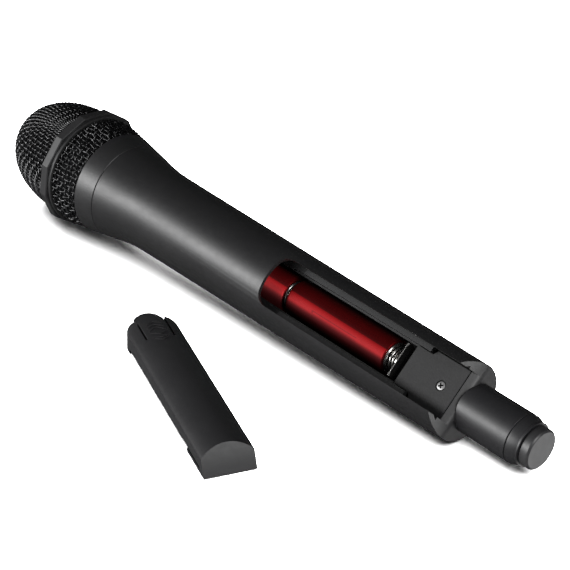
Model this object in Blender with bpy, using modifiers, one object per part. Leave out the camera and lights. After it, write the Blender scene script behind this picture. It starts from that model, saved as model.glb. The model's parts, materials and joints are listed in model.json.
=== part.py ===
# Handheld wireless microphone, battery cover off, lying on a bench.
# The microphone rests on one corner of its anti-roll ring and on the rim of its tail.
# Its battery compartment faces up and to the front, and the cover lies beside it.
#
# Every piece of the microphone is drawn in the microphone's own frame:
#   x  along the barrel, from the grille (negative) to the antenna stub (positive),
#      zero at the flat tail face of the barrel
#   y  across the battery opening
#   z  out of the battery opening
# The empty "mic_frame" lays that frame on the bench. The cover is drawn in the same
# frame, where it sits when closed, and the empty "cover_frame" lays it on the bench.
import bpy
import bmesh
import math
from collections import namedtuple
from mathutils import Matrix, Vector

for old in list(bpy.data.objects):
    bpy.data.objects.remove(old, do_unlink=True)

# ------------------------------------------------------------ driving dimensions (mm)
MM = 0.001             # metres in a millimetre
GAP = 0.3              # clearance between touching pieces
# barrel
R_TAIL = 15.0          # barrel radius at the tail
TAPER = 0.0095         # barrel radius gained per mm towards the head
WALL = 1.5             # barrel wall
X_SEAM = -180.0        # joint between barrel and grille collar
X_COLLAR = -189.0      # end of the collar
# grille head
RING_SIDES = 12        # flats on the anti-roll ring
RING_R = 24.3          # ring radius over its corners
RING_PHASE = -5.0      # turn of the ring's corners about the barrel, degrees
X_RING_REAR = -203.2   # tailward edge of the ring's flats
X_RING_FRONT = -207.0  # headward edge of the ring's flats
DOME_R = 22.1          # grille dome radius at the ring
DOME_L = 35.2          # grille dome length
X_BASKET_FOAM = -201.5  # headward end of the foam's straight part
# battery opening and the tray below it
OPEN_HALF = 9.9        # half width of the battery opening
X_OPEN = -90.0         # head end of the battery opening
OPEN_CORNER = 3.8      # corner radius of the battery opening
Z_DECK = 5.2           # top of the deck plate
DECK_THICK = 1.2       # deck plate thickness
Z_DECK_SEAT = Z_DECK - DECK_THICK - GAP  # tray surface under the deck plate
Z_LEDGE = 6.9          # top of the side ledges
X_NOTCH = -19.6        # tail end of the side ledges
X_WELL = -26.5         # tail end of the battery well
X_DECK_END = -2.9      # tail end of the deck plate
X_DECK_SCREW = -9.8    # axis of the deck screw
WELL_HALF = 7.4        # half width of the battery well
# cells
BAT_R = 7.1            # AA cell radius
BAT_L = 50.5           # AA cell length over its terminals
X_BAT = -34.4          # flat end of the cell nearest the tail
# circuit board
Z_BOARD = (-10.1, -8.5)  # faces of the main board
BOARD_SCREWS = (("head_end", -100.0), ("tail_end", -28.0))
X_SWITCH = (-131.0, -117.0)  # ends of the switch slot in the barrel
X_LED = -110.0         # axis of the status lens
# antenna stub and tail cap
STUB_DROP = 4.9        # antenna stub axis below the barrel axis
STUB_R = 9.4           # antenna stub radius
STUB_NECK_R = 7.2      # stub radius inside the barrel
X_STUB_END = 22.0      # end of the stub's main tube
X_CAP_END = 31.0       # end of the tail cap
CAP_R = 7.65           # tail cap radius
# battery cover
X_COVER_TAIL = -1.6    # tail end of the cover's foot
COVER_FOOT = Z_DECK + GAP    # underside of the cover's foot
COVER_SIDE = Z_LEDGE + GAP   # underside of the cover's sides
COVER_INSET = 0.28     # cover edge inside the edge of the opening
X_LATCH = -76.3        # root of the cover's latch tongue
TONGUE = 4.9           # half width of the latch tongue
# places on the bench
ROLL = math.radians(45.0)    # microphone's turn about its barrel
COVER_YAW = -22.3      # cover's turn on the bench, degrees
COVER_AT = (-38.1, -74.6)    # bench position of the middle of the cover's tail edge
BENCH_SHIFT = (105.569, 29.785)  # moves the whole layout over the origin
# mesh resolution
CORNER_SEGMENTS = 5    # segments in each corner of the battery opening
SMOOTH_ANGLE = 35.0    # edges sharper than this stay sharp, degrees

# ------------------------------------------------------------ materials
Look = namedtuple("Look", "colour roughness metallic")
PAINT = Look(colour=(0.030, 0.031, 0.033), roughness=0.38, metallic=0.35)
PLASTIC = Look(colour=(0.036, 0.037, 0.038), roughness=0.55, metallic=0.0)
WIRE = Look(colour=(0.020, 0.020, 0.021), roughness=0.40, metallic=0.6)
NICKEL = Look(colour=(0.62, 0.61, 0.58), roughness=0.25, metallic=1.0)
GREY = Look(colour=(0.075, 0.075, 0.078), roughness=0.45, metallic=0.1)
RED = Look(colour=(0.42, 0.012, 0.018), roughness=0.28, metallic=0.6)
GREEN = Look(colour=(0.010, 0.075, 0.035), roughness=0.5, metallic=0.0)
RUBBER = Look(colour=(0.020, 0.020, 0.020), roughness=0.8, metallic=0.0)
FOAM = Look(colour=(0.015, 0.015, 0.016), roughness=0.95, metallic=0.0)
BRASS = Look(colour=(0.60, 0.42, 0.15), roughness=0.3, metallic=1.0)
COPPER = Look(colour=(0.65, 0.26, 0.12), roughness=0.3, metallic=1.0)
CLEAR = Look(colour=(0.05, 0.45, 0.12), roughness=0.15, metallic=0.0)


def material(name, look):
    mat = bpy.data.materials.new(name)
    mat.use_nodes = True
    inputs = mat.node_tree.nodes["Principled BSDF"].inputs
    inputs["Base Color"].default_value = (*look.colour, 1.0)
    inputs["Roughness"].default_value = look.roughness
    inputs["Metallic"].default_value = look.metallic
    mat.diffuse_color = (*look.colour, 1.0)
    return mat


# ------------------------------------------------------------ collections and frames
def collection(name):
    coll = bpy.data.collections.new(name)
    bpy.context.scene.collection.children.link(coll)
    return coll


def frame(name, location, rotation):
    empty = bpy.data.objects.new(name, None)
    pieces.objects.link(empty)
    empty.location = [v * MM for v in location]
    empty.rotation_euler = rotation
    return empty


def make_mic_frame():
    """Lays the microphone on its tail rim and on the ring's lowest corner."""
    step = 360.0 / RING_SIDES
    off = (180.0 - math.degrees(ROLL) - RING_PHASE) % step
    ring_drop = RING_R * math.cos(math.radians(min(off, step - off)))
    tilt = math.atan2(ring_drop - R_TAIL, -X_RING_REAR)
    return frame("mic_frame", (*BENCH_SHIFT, R_TAIL * math.cos(tilt)), (ROLL, tilt, 0.0))


def make_cover_frame():
    """Sets the cover's foot on the bench, with its tail edge at COVER_AT."""
    yaw = math.radians(COVER_YAW)
    tail = Matrix.Rotation(yaw, 3, "Z") @ Vector((X_COVER_TAIL, 0.0, COVER_FOOT))
    location = (COVER_AT[0] + BENCH_SHIFT[0] - tail.x,
                COVER_AT[1] + BENCH_SHIFT[1] - tail.y, -COVER_FOOT)
    return frame("cover_frame", location, (0.0, 0.0, yaw))


pieces = collection("handheld_wireless_microphone")
cutters = collection("cutters")
mic_frame = make_mic_frame()
cover_frame = make_cover_frame()


# ------------------------------------------------------------ modelling helpers
# A shape with no look is a helper for booleans and goes to the cutters.
def from_bmesh(name, bm, look, parent):
    mesh = bpy.data.meshes.new(name)
    bm.to_mesh(mesh)
    bm.free()
    obj = bpy.data.objects.new(name, mesh)
    obj.parent = parent
    if look is None:
        cutters.objects.link(obj)
        obj.hide_render = True
        obj.display_type = "WIRE"
    else:
        pieces.objects.link(obj)
        mesh.materials.append(material(name + "_mat", look))
    return obj


def box(name, x, y, z, look=None, parent=mic_frame):
    """Box between the (low, high) ends x, y and z."""
    spans = (x, y, z)
    bm = bmesh.new()
    bmesh.ops.create_cube(bm, size=1.0)
    bmesh.ops.scale(bm, verts=bm.verts, vec=[(high - low) * MM for low, high in spans])
    bmesh.ops.translate(bm, verts=bm.verts, vec=[(low + high) / 2 * MM for low, high in spans])
    return from_bmesh(name, bm, look, parent)


def signed_area(points):
    return 0.5 * sum(a[0] * b[1] - b[0] * a[1] for a, b in zip(points, points[1:] + points[:1]))


def turned(name, profile, look=None, steps=48, z=0.0, parent=mic_frame):
    """Solid of revolution about the x direction; profile is a loop of (x, radius)."""
    points = [(r, x) for x, r in profile]
    if signed_area(points) > 0:
        points.reverse()
    on_axis = [r < 1e-9 for r, x in points]
    if any(on_axis):
        # start the profile at the axis, and leave out the edge that lies on the axis
        start = next(i for i in range(len(points)) if on_axis[i] and on_axis[i - 1])
        points = points[start:] + points[:start]
    bm = bmesh.new()
    verts = [bm.verts.new((r * MM, 0.0, x * MM)) for r, x in points]
    for a, b in zip(verts, verts[1:]):
        bm.edges.new((a, b))
    if not any(on_axis):
        bm.edges.new((verts[-1], verts[0]))
    obj = from_bmesh(name, bm, look, parent)
    obj.rotation_euler = (0.0, math.pi / 2, 0.0)
    obj.location = (0.0, 0.0, z * MM)
    screw = obj.modifiers.new("turn", "SCREW")
    screw.axis = "Z"
    screw.angle = 2 * math.pi
    screw.steps = steps
    screw.render_steps = steps
    screw.use_merge_vertices = True
    screw.merge_threshold = 0.00001
    screw.use_smooth_shade = True
    screw.use_normal_calculate = False
    return obj


def rod(name, x, radius, look=None, steps=24, z=0.0):
    return turned(name, [(x[0], 0), (x[0], radius), (x[1], radius), (x[1], 0)], look, steps, z)


def upright(obj, x, z):
    """Stands a turned shape along z, with its profile's zero at (x, 0, z)."""
    obj.rotation_euler = (0.0, 0.0, 0.0)
    obj.location = (x * MM, 0.0, z * MM)
    return obj


def curve_to_bmesh(name, curve, points, cyclic, weld):
    """Runs the curve through 3D points and returns its surface as a welded bmesh."""
    spline = curve.splines.new("POLY")
    spline.points.add(len(points) - 1)
    for target, point in zip(spline.points, points):
        target.co = (*[v * MM for v in point], 1.0)
    spline.use_cyclic_u = cyclic
    temp = bpy.data.objects.new(name + "_curve", curve)
    cutters.objects.link(temp)
    bpy.context.view_layer.update()
    depsgraph = bpy.context.evaluated_depsgraph_get()
    mesh = bpy.data.meshes.new_from_object(temp.evaluated_get(depsgraph))
    bpy.data.objects.remove(temp, do_unlink=True)
    bm = bmesh.new()
    bm.from_mesh(mesh)
    bpy.data.meshes.remove(mesh)
    bmesh.ops.remove_doubles(bm, verts=bm.verts, dist=weld)
    return bm


# how an outline's (u, v, depth) is read
PLAN = Matrix.Identity(4)                                                    # x, y, z
SIDE = Matrix(((1, 0, 0, 0), (0, 0, -1, 0), (0, 1, 0, 0), (0, 0, 0, 1)))     # x, z, -y
CROSS = Matrix(((0, 0, 1, 0), (1, 0, 0, 0), (0, 1, 0, 0), (0, 0, 0, 1)))     # y, z, x


def outline(name, points, depth, look=None, view=PLAN, parent=mic_frame):
    """Flat outline of (u, v) points, filled and extruded over depth."""
    curve = bpy.data.curves.new(name, "CURVE")
    curve.dimensions = "2D"
    curve.fill_mode = "BOTH"
    curve.extrude = (depth[1] - depth[0]) / 2 * MM
    flat = [(u, v, 0.0) for u, v in points]
    bm = curve_to_bmesh(name, curve, flat, cyclic=True, weld=0.000005)
    bmesh.ops.dissolve_limit(bm, angle_limit=0.0001, verts=bm.verts, edges=bm.edges)
    bmesh.ops.recalc_face_normals(bm, faces=bm.faces)
    bmesh.ops.translate(bm, verts=bm.verts, vec=(0, 0, (depth[0] + depth[1]) / 2 * MM))
    bmesh.ops.transform(bm, verts=bm.verts, matrix=view)
    return from_bmesh(name, bm, look, parent)


def wire(name, points, radius, look):
    """Round wire along a polyline, with filled ends."""
    curve = bpy.data.curves.new(name, "CURVE")
    curve.dimensions = "3D"
    curve.bevel_depth = radius * MM
    curve.bevel_resolution = 1
    curve.use_fill_caps = True
    bm = curve_to_bmesh(name, curve, points, cyclic=False, weld=0.000002)
    bmesh.ops.recalc_face_normals(bm, faces=bm.faces)
    return from_bmesh(name, bm, look, mic_frame)


def helix(turns, points_per_turn, x, radii, z=0.0):
    """Points of a coil about the x direction, between two stations and two radii."""
    count = int(turns * points_per_turn)
    points = []
    for i in range(count + 1):
        t = i / count
        angle = 2 * math.pi * turns * t
        r = radii[0] + (radii[1] - radii[0]) * t
        points.append((x[0] + (x[1] - x[0]) * t, r * math.cos(angle), r * math.sin(angle) + z))
    return points


def boolean(obj, operation, tools):
    for tool in tools:
        mod = obj.modifiers.new(operation.lower() + "_" + tool.name, "BOOLEAN")
        mod.operation = operation
        mod.object = tool
        mod.solver = "EXACT"


def cut(obj, *tools):
    boolean(obj, "DIFFERENCE", tools)


def keep_within(obj, *tools):
    boolean(obj, "INTERSECT", tools)


def join(obj, *tools):
    boolean(obj, "UNION", tools)


# ------------------------------------------------------------ shared shapes
def barrel_r(x):
    """Outer radius: a slow taper, then the flare that meets the collar."""
    s = -x - 164.5
    flare = 0.168 * (s / 2 + math.sqrt(s * s + 3.5 * 3.5) / 2) if x < -140 else 0.0
    return R_TAIL - TAPER * x + flare


def tail_set_back(z):
    """How far the tail face curves back above the stub."""
    t = max(z - 1.5, 0.0)
    return 0.36 * t + 0.012 * t * t


def arc(cx, cy, radius, start, end):
    angles = [math.radians(start + (end - start) * i / CORNER_SEGMENTS)
              for i in range(CORNER_SEGMENTS + 1)]
    return [(cx + radius * math.cos(a), cy + radius * math.sin(a)) for a in angles]


def opening_outline(inset, x_tail):
    """Plan of the battery opening, drawn in by inset and run out to x_tail."""
    half = OPEN_HALF - inset
    corner = OPEN_CORNER - inset
    cx = X_OPEN + inset + corner
    cy = half - corner
    return ([(x_tail, -half), (x_tail, half)]
            + arc(cx, cy, corner, 90, 180) + arc(cx, -cy, corner, 180, 270))


def dome_profile(inset, segments):
    """Dome stations (x, radius) from the ring to the tip on the axis."""
    points = []
    for i in range(segments):
        s = math.sin(math.pi / 2 * i / segments)
        points.append((X_RING_FRONT - GAP - (DOME_L - inset) * s,
                       (DOME_R - inset) * math.sqrt(max(1 - s ** 2.5, 0.0))))
    return points + [(X_RING_FRONT - GAP - (DOME_L - inset), 0.0)]


def stub_bore(name, x):
    """Cutter that clears the neck of the antenna stub."""
    return rod(name, x, STUB_NECK_R + GAP, steps=40, z=-STUB_DROP)


# ------------------------------------------------------------ barrel
def make_barrel():
    stations = [X_SEAM, -176, -173, -170, -167, -164.5, -162, -158, -150, -8]
    inner_stations = [X_SEAM, -170, -164.5, -158, -150, -8]
    rim = barrel_r(0)
    outer = [(x, barrel_r(x)) for x in stations] + [(-0.45, rim), (-0.1, rim - 0.15), (0, rim - 0.5)]
    inner = [(x, barrel_r(x) - WALL) for x in inner_stations] + [(-2.6, R_TAIL - WALL - 0.1)]
    barrel = turned("barrel", [(0, 0)] + outer[::-1] + inner + [(-2.6, 0)], PAINT, 56)

    # side view (x, z) of everything tailwards of the tail face
    face_zs = (-22.0, 1.5, 3.0, 4.5, 6.0, 7.5, 9.0, 10.5, 12.0, 13.5, 15.0, 17.5)
    face = [(-tail_set_back(z), z) for z in face_zs] + [(40.0, 17.5), (40.0, -22.0)]
    # side view (x, z) of the sloped lip at the tail end of the opening
    lip = [(-2.75, 5.1), (-2.75, 9.0), (4.0, 9.0), (4.0, 1.7), (0.05, 1.7), (-0.9, 3.5)]
    cut(barrel,
        outline("cut_tail_face", face, (-20, 20), view=SIDE),
        outline("cut_opening", opening_outline(0.0, 6.0), (Z_DECK - 0.2, 22.0)),
        outline("cut_lip_slope", lip, (-OPEN_HALF, OPEN_HALF), view=SIDE),
        stub_bore("cut_stub_bore", (-6.0, 4.0)),
        box("cut_switch_slot", X_SWITCH, (-3.3, 3.3), (-22.0, -12.0)),
        upright(rod("cut_led_hole", (-4.0, 4.0), 1.5, steps=16), X_LED, -15.5))


# ------------------------------------------------------------ chassis inside the barrel
def make_battery_tray():
    across = (-14, 14)
    tray = rod("battery_tray", (-141.0, X_DECK_END), 13.1, PLASTIC, 48)
    cut(tray,
        box("cut_tray_floor", (-150, 0), across, (-20.0, -8.2)),
        box("cut_tray_top", (-112.0, 0), across, (Z_LEDGE, 20.0)),
        box("cut_tray_front", (-112.0, -82.9), across, (Z_DECK, 20.0)),
        box("cut_tray_deck", (X_NOTCH, 0), across, (Z_DECK_SEAT, 20.0)),
        box("cut_tray_mid", (-89.0, -10.0), (-8.1, 8.1), (Z_DECK_SEAT, 20.0)),
        rod("cut_tray_bore", (-139.0, X_WELL), BAT_R + 0.45, steps=40),
        box("cut_tray_well", (-111.0, X_WELL), (-WELL_HALF, WELL_HALF), (0.0, 20.0)),
        upright(rod("cut_tray_boss", (-4.5, 3.0), 1.2, steps=16), X_DECK_SCREW, 2.5),
        stub_bore("cut_tray_stub", (-6.4, 2.0)))


def make_deck_plate():
    """Plate that is narrow between the side ledges and wide tailwards of them."""
    narrow, wide = 7.8, OPEN_HALF - GAP
    half_plan = [(X_WELL + 0.2, narrow), (X_NOTCH + 0.3, narrow),
                 (X_NOTCH + 1.6, wide), (X_DECK_END, wide)]
    plan = [(x, -y) for x, y in half_plan] + half_plan[::-1]
    deck = outline("deck_plate", plan, (Z_DECK - DECK_THICK, Z_DECK), PLASTIC)
    # countersink (z below the deck's top, radius)
    sink = [(-3.0, 0), (-3.0, 1.3), (-0.8, 1.3), (-0.8, 1.95), (0.6, 2.0), (0.6, 0)]
    cut(deck, upright(turned("cut_deck_hole", sink, steps=32), X_DECK_SCREW, Z_DECK))


def make_deck_screw():
    # (z below the deck's top, radius)
    profile = [(-6.5, 0), (-6.5, 0.5), (-5.9, 0.9), (-0.5, 0.9), (-0.5, 1.5), (-0.4, 1.6),
               (-0.25, 1.6), (-0.1, 1.4), (-0.02, 1.0), (-0.02, 0)]
    screw = upright(turned("deck_screw", profile, NICKEL, 24), X_DECK_SCREW, Z_DECK)
    for i, angle in enumerate((35.0, 125.0)):
        slot = box("cut_screw_cross_%d" % i, (-1.05, 1.05), (-0.28, 0.28), (-0.7, 0.3))
        slot.location = (X_DECK_SCREW * MM, 0.0, Z_DECK * MM)
        slot.rotation_euler = (0.0, 0.0, math.radians(angle))
        cut(screw, slot)


# ------------------------------------------------------------ cells and contacts
def make_cell(name, flat_end):
    """AA cell whose nub points to the grille."""
    nub = flat_end - BAT_L
    profile = [(nub, 0), (nub, 2.5), (nub + 0.2, 2.75), (nub + 1.3, 2.75), (nub + 1.3, 6.3),
               (nub + 1.7, BAT_R), (flat_end - 0.7, BAT_R), (flat_end - 0.25, BAT_R - 0.45),
               (flat_end - 0.25, 5.6), (flat_end, 5.3), (flat_end, 0)]
    turned(name, profile, RED, 28)


def make_cells():
    make_cell("battery_front", X_BAT)
    make_cell("battery_rear", X_BAT - BAT_L - GAP)


def make_contacts():
    spring_start = X_BAT + 0.75
    spring = helix(turns=3.5, points_per_turn=11, x=(spring_start, spring_start + 3.2),
                   radii=(4.9, 2.9))
    wire("battery_spring", spring, 0.36, NICKEL)
    # plate seen along the barrel (y, z)
    plate = [(-5.4, -4.2), (5.4, -4.2), (6.7, -1.5), (6.7, 5.3),
             (4.8, 6.5), (-4.8, 6.5), (-6.7, 5.3), (-6.7, -1.5)]
    contact = outline("spring_contact", plate, (-29.55, -29.15), NICKEL, CROSS)
    for i, tab_y in enumerate(((-6.7, -5.2), (5.2, 6.7))):
        join(contact, box("contact_tab_%d" % i, (-30.7, -29.3), tab_y, (4.4, 4.8)))
    box("positive_contact", (-137.0, -136.2), (-4.5, 4.5), (-6.0, 4.5), NICKEL)


# ------------------------------------------------------------ electronics under the tray
def make_main_board():
    board = box("main_board", (-138.0, -22.0), (-8.0, 8.0), Z_BOARD, GREEN)
    # (z from the screw's origin, radius)
    screw = [(-2.05, 0), (-2.05, 1.5), (-1.85, 1.7), (-1.25, 1.7), (-1.25, 0.7), (0.8, 0.7), (0.8, 0)]
    for i, (end, x) in enumerate(BOARD_SCREWS):
        hole = rod("cut_board_hole_%d" % i, (-2.0, 2.0), 1.05, steps=16)
        cut(board, upright(hole, x, sum(Z_BOARD) / 2))
        upright(turned("board_screw_" + end, screw, NICKEL, 16), x, -9.15)


def make_board_parts():
    # name, x ends, half width, z of the face away from the board, look
    parts = (("rf_shield", (-78.0, -44.0), 5.2, -12.0, NICKEL),
             ("audio_chip", (-97.0, -88.0), 3.5, -11.6, PLASTIC),
             ("slide_switch", (-129.0, -119.0), 2.4, -12.9, NICKEL))
    for name, x, half, z_low, look in parts:
        box(name, x, (-half, half), (z_low, Z_BOARD[0] - GAP), look)


def make_switch_bezel():
    x0, x1 = X_SWITCH[0] + GAP, X_SWITCH[1] - GAP
    bezel = turned("switch_bezel", [(x0, 14.0), (x0, 15.9), (x1, 15.8), (x1, 14.0)], PLASTIC, 64)
    keep_within(bezel, box("keep_bezel", (-130.6, -117.4), (-3.0, 3.0), (-20.0, -10.0)))
    cut(bezel, box("cut_bezel_slot", (-128.6, -119.4), (-1.7, 1.7), (-20.0, -10.0)))


def make_power_slider():
    groove_x, groove_width, groove_pitch = -127.4, 0.5, 1.1
    slider = box("power_slider", (-128.3, -123.7), (-1.4, 1.4), (-16.9, -13.2), GREY)
    for i in range(3):
        x = groove_x + i * groove_pitch
        cut(slider, box("cut_slider_groove_%d" % i, (x, x + groove_width), (-2.0, 2.0), (-18.0, -16.5)))


def make_status_lens():
    # (z, radius)
    profile = [(-16.75, 0), (-16.55, 0.9), (-16.2, 1.2), (-12.6, 1.2), (-12.6, 0)]
    upright(turned("status_lens", profile, CLEAR, 16), X_LED, 0.0)


# ------------------------------------------------------------ antenna stub and tail cap
def make_antenna_stub():
    profile = [(-6.0, 5.6), (-6.0, STUB_NECK_R), (-4.0, STUB_NECK_R), (-4.0, STUB_R),
               (X_STUB_END - 0.15, STUB_R), (X_STUB_END, STUB_R - 0.2), (X_STUB_END, 7.9),
               (2.6, 7.9), (2.6, 5.6)]
    stub = turned("antenna_stub", profile, PLASTIC, 40, -STUB_DROP)
    # trims the stub's full radius to the curved tail face, leaving the neck
    shoulder = turned("cut_stub_shoulder", [(-12.0, STUB_NECK_R), (-12.0, 18.0), (6.0, 18.0),
                                            (6.0, STUB_NECK_R)], z=-STUB_DROP)
    face_zs = (-25.0, 1.5, 3.0, 4.5, 6.0, 8.0, 10.0, 15.0)
    face = [(-14.0, -25.0)] + [(-tail_set_back(z) + GAP, z) for z in face_zs] + [(-14.0, 15.0)]
    keep_within(shoulder, outline("keep_behind_face", face, (-20, 20), view=SIDE))
    cut(stub, shoulder)


def make_tail_cap():
    ring = [(X_STUB_END + GAP, 6.9), (X_STUB_END + GAP, 9.3), (23.1, 9.3), (26.2, 8.25),
            (26.3, 8.5), (27.0, 8.5), (27.0, 6.9)]
    turned("stub_ring", ring, PLASTIC, 40, -STUB_DROP)
    cap = [(23.0, 0), (23.0, 6.5), (27.3, 6.5), (27.3, CAP_R), (30.3, CAP_R),
           (X_CAP_END, CAP_R - 0.6), (X_CAP_END, 0)]
    turned("tail_cap", cap, GREY, 40, -STUB_DROP)


def make_antenna():
    coil = helix(turns=4.0, points_per_turn=10, x=(4.0, 19.0), radii=(4.6, 4.6), z=-STUB_DROP)
    wire("antenna_coil", coil, 0.4, COPPER)
    lead = [(-21.0, 0, -9.3), (-14.0, 0, -9.6), (-7.0, 1.5, -8.9), (0.0, 3.6, -6.2), (3.2, 4.6, -4.9)]
    wire("antenna_lead", lead, 0.35, RED)


# ------------------------------------------------------------ grille head
def make_collar_and_basket():
    flared = [(x, barrel_r(x)) for x in (X_SEAM - 0.5, -184.0, -187.0, X_COLLAR + 0.2)]
    collar = ([(-172.0, 13.9), (-172.0, 15.6), (X_SEAM - GAP, 15.9), (X_SEAM - GAP, 19.2)] + flared
              + [(X_COLLAR, barrel_r(X_COLLAR) - 0.15), (X_COLLAR, 19.2), (-184.0, 17.6),
                 (X_SEAM - 0.5, 15.0)])
    turned("grille_collar", collar, PAINT, 40)

    length, rear_r, swell, thickness = 12.0, 20.8, 1.7, 1.0
    outer = [(X_COLLAR - GAP - length * t, rear_r + swell * math.sin(math.pi / 2 * t))
             for t in (0.0, 0.5, 1.0)]
    # the inside runs straight between the two ends
    inner = [(x, r - thickness) for x, r in outer[::-2]]
    turned("grille_basket", outer + inner, WIRE, 36)


def make_grille_ring():
    """Ring of flats with a thin round ridge on its tailward side."""
    bm = bmesh.new()
    bmesh.ops.create_cone(bm, cap_ends=True, segments=RING_SIDES, radius1=RING_R * MM,
                          radius2=RING_R * MM, depth=(X_RING_REAR - X_RING_FRONT) * MM)
    ring = from_bmesh("grille_ring", bm, PLASTIC, mic_frame)
    middle = (X_RING_REAR + X_RING_FRONT) / 2 * MM
    cos_phase = math.cos(math.radians(RING_PHASE))
    sin_phase = math.sin(math.radians(RING_PHASE))
    # swapping x and z lays the axis along x, but mirrors the mesh, so its normals are flipped
    for vert in ring.data.vertices:
        x, y, z = vert.co
        vert.co = (z + middle, y * cos_phase - x * sin_phase, y * sin_phase + x * cos_phase)
    ring.data.flip_normals()
    bevel = ring.modifiers.new("edges", "BEVEL")
    bevel.width = 0.35 * MM
    bevel.segments = 1
    bevel.limit_method = "ANGLE"
    bevel.angle_limit = math.radians(40.0)
    # (x from the tailward edge of the flats, radius)
    ridge = [(-1.0, 20.0), (-1.0, 22.9), (0.5, 22.6), (1.0, 23.1), (1.5, 23.0), (1.6, 22.7), (1.6, 20.0)]
    join(ring, turned("add_ring_ridge", [(X_RING_REAR + x, r) for x, r in ridge], steps=36))
    cut(ring, rod("cut_ring_bore", (-212.0, -198.0), 21.7, steps=36))


def make_grille_dome():
    turned("grille_dome", dome_profile(0.0, 9) + dome_profile(1.0, 6)[::-1], WIRE, 36)


def make_windscreen_foam():
    """One foam liner fills the dome and runs back inside the basket."""
    outer = [(-189.8, 19.0), (X_BASKET_FOAM, 20.3)] + dome_profile(1.6, 6)
    inner = dome_profile(5.4, 4)[::-1] + [(X_BASKET_FOAM, 17.3), (-189.8, 16.2)]
    turned("windscreen_foam", outer + inner, FOAM, 28)


# ------------------------------------------------------------ capsule
def make_capsule():
    # name, look, profile (x, radius)
    parts = (
        ("capsule_stem", PLASTIC,
         [(-195.0, 9.0), (-195.0, 12.6), (-184.0, 12.8), (-166.0, 13.2), (-166.0, 11.0),
          (-184.0, 10.8), (-190.0, 9.0)]),
        ("shock_mount", RUBBER,
         [(-207.5, 12.6), (-207.5, 15.2), (-203.0, 16.2), (-198.0, 15.2), (-195.3, 13.0),
          (-195.3, 8.0), (-199.0, 8.0), (-199.5, 12.6)]),
        ("mic_capsule", BRASS,
         [(-199.9, 0), (-199.9, 12.2), (-214.6, 12.2), (-214.6, 10.8), (-213.6, 10.4), (-213.6, 0)]),
        ("capsule_screen", NICKEL,
         [(-214.9, 0), (-214.9, 12.1), (-216.4, 11.6), (-217.4, 9.0), (-217.8, 0)]))
    for name, look, profile in parts:
        turned(name, profile, look, 24)
    rod("capsule_terminal_board", (-198.6, -197.4), 7.6, GREEN)


def make_capsule_leads():
    # (x, distance from the middle plane, z)
    path = [(-197.1, 3.0, 0.5), (-190, 3.4, -1.0), (-180, 3.2, -4.5), (-165, 3.0, -7.6),
            (-150, 3.0, -9.3), (-138.5, 3.0, -9.3)]
    for name, side, look in (("capsule_lead_a", 1, RED), ("capsule_lead_b", -1, RUBBER)):
        wire(name, [(x, y * side, z) for x, y, z in path], 0.5, look)


# ------------------------------------------------------------ battery cover
def barrel_slice(name, inset, half, z_low, x):
    """Slice of the tapered barrel between two stations, cut to a width and a floor."""
    x0, x1 = x
    profile = [(x0, 0), (x0, barrel_r(x0) - inset), (x1, barrel_r(x1) - inset), (x1, 0)]
    body = turned(name, profile, steps=64, parent=cover_frame)
    keep_within(body, box(name + "_keep", (x0 - 5, x1 + 5), (-half, half), (z_low, 25.0),
                          parent=cover_frame))
    return body


def make_battery_cover():
    hollow_half = OPEN_HALF - COVER_INSET - 1.4
    tail_zs = (2.0, 5.5, 6.5, 8.0, 9.5, 11.0, 12.5, 14.0, 15.0, 17.5)
    tail = [(X_COVER_TAIL if z < 6.5 else -tail_set_back(z), z) for z in tail_zs]
    tail += [(20.0, 17.5), (20.0, 2.0)]
    # side view (x, z) of the round-ended slot in each side
    slot = [(-24.0, 6.6), (-24.0, 7.7), (-6.6, 7.7), (-6.1, 7.45), (-5.95, 7.15),
            (-6.1, 6.85), (-6.6, 6.6)]
    window_half = TONGUE + 0.75

    shell = outline("battery_cover", opening_outline(COVER_INSET, 2.0), (COVER_FOOT, 22.0),
                    PLASTIC, parent=cover_frame)
    keep_within(shell, barrel_slice("keep_cover_form", 0.0, 30.0, 0.0, (-96.0, 3.0)))
    cut(shell,
        barrel_slice("cut_cover_hollow", 1.6, hollow_half, -5.0, (-75.0, -6.8)),
        barrel_slice("cut_cover_hollow_head", 1.6, 5.7, -5.0, (-86.0, -74.0)),
        outline("cut_cover_tail", tail, (-20, 20), view=SIDE, parent=cover_frame),
        box("cut_cover_sides", (-83.5, -19.3), (-14, 14), (0.0, COVER_SIDE), parent=cover_frame),
        box("cut_cover_front", (-100.0, -83.0), (-6.6, 6.6), (0.0, COVER_SIDE), parent=cover_frame))
    for i, depth in enumerate(((-12.0, -7.0), (7.0, 12.0))):
        cut(shell, outline("cut_cover_slot_%d" % i, slot, depth, view=SIDE, parent=cover_frame))
    # the slits and the gap that free the latch tongue
    cut(shell, box("cut_latch_window", (-95.0, X_LATCH), (-window_half, window_half),
                   (9.2, 22.0), parent=cover_frame))


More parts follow.
